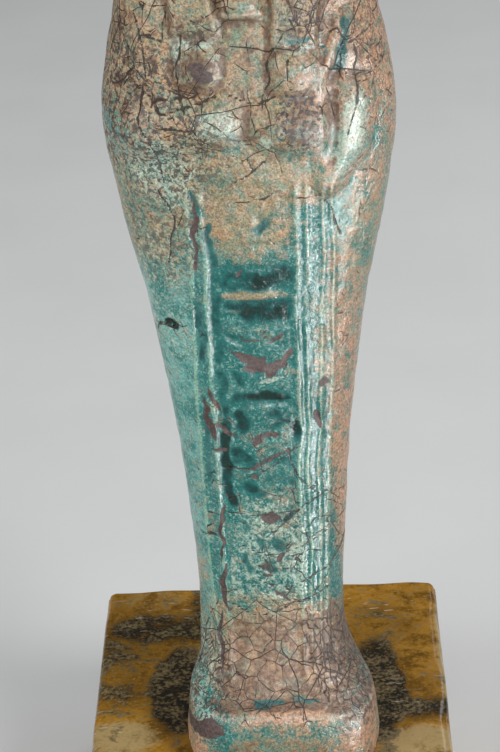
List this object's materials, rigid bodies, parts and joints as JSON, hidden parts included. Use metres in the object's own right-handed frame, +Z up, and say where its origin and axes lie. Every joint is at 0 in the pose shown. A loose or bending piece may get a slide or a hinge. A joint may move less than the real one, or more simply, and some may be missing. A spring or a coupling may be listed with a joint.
{
  "type": "ushabti figurine",
  "caption": "Mummiform glazed faience figurine with wig, beard, crossed hands, tools and a sunk column of marks, standing on a small polished stone block.",
  "frame": {"origin": "middle of the stone block's underside", "axes": "+Z up, the figure faces -Y, its left hand is on +X"},
  "size_m": [0.0576, 0.07, 0.2003],
  "materials": {
    "faience": "worn turquoise and green glossy glaze with dark crackle, tan weathering and bare brown patches",
    "stone": "polished golden brown stone mottled with dark grey green"
  },
  "bodies": {
    "root": {"ushabti_figure": "faience", "stone_block": "stone"}
  },
  "joints": []
}
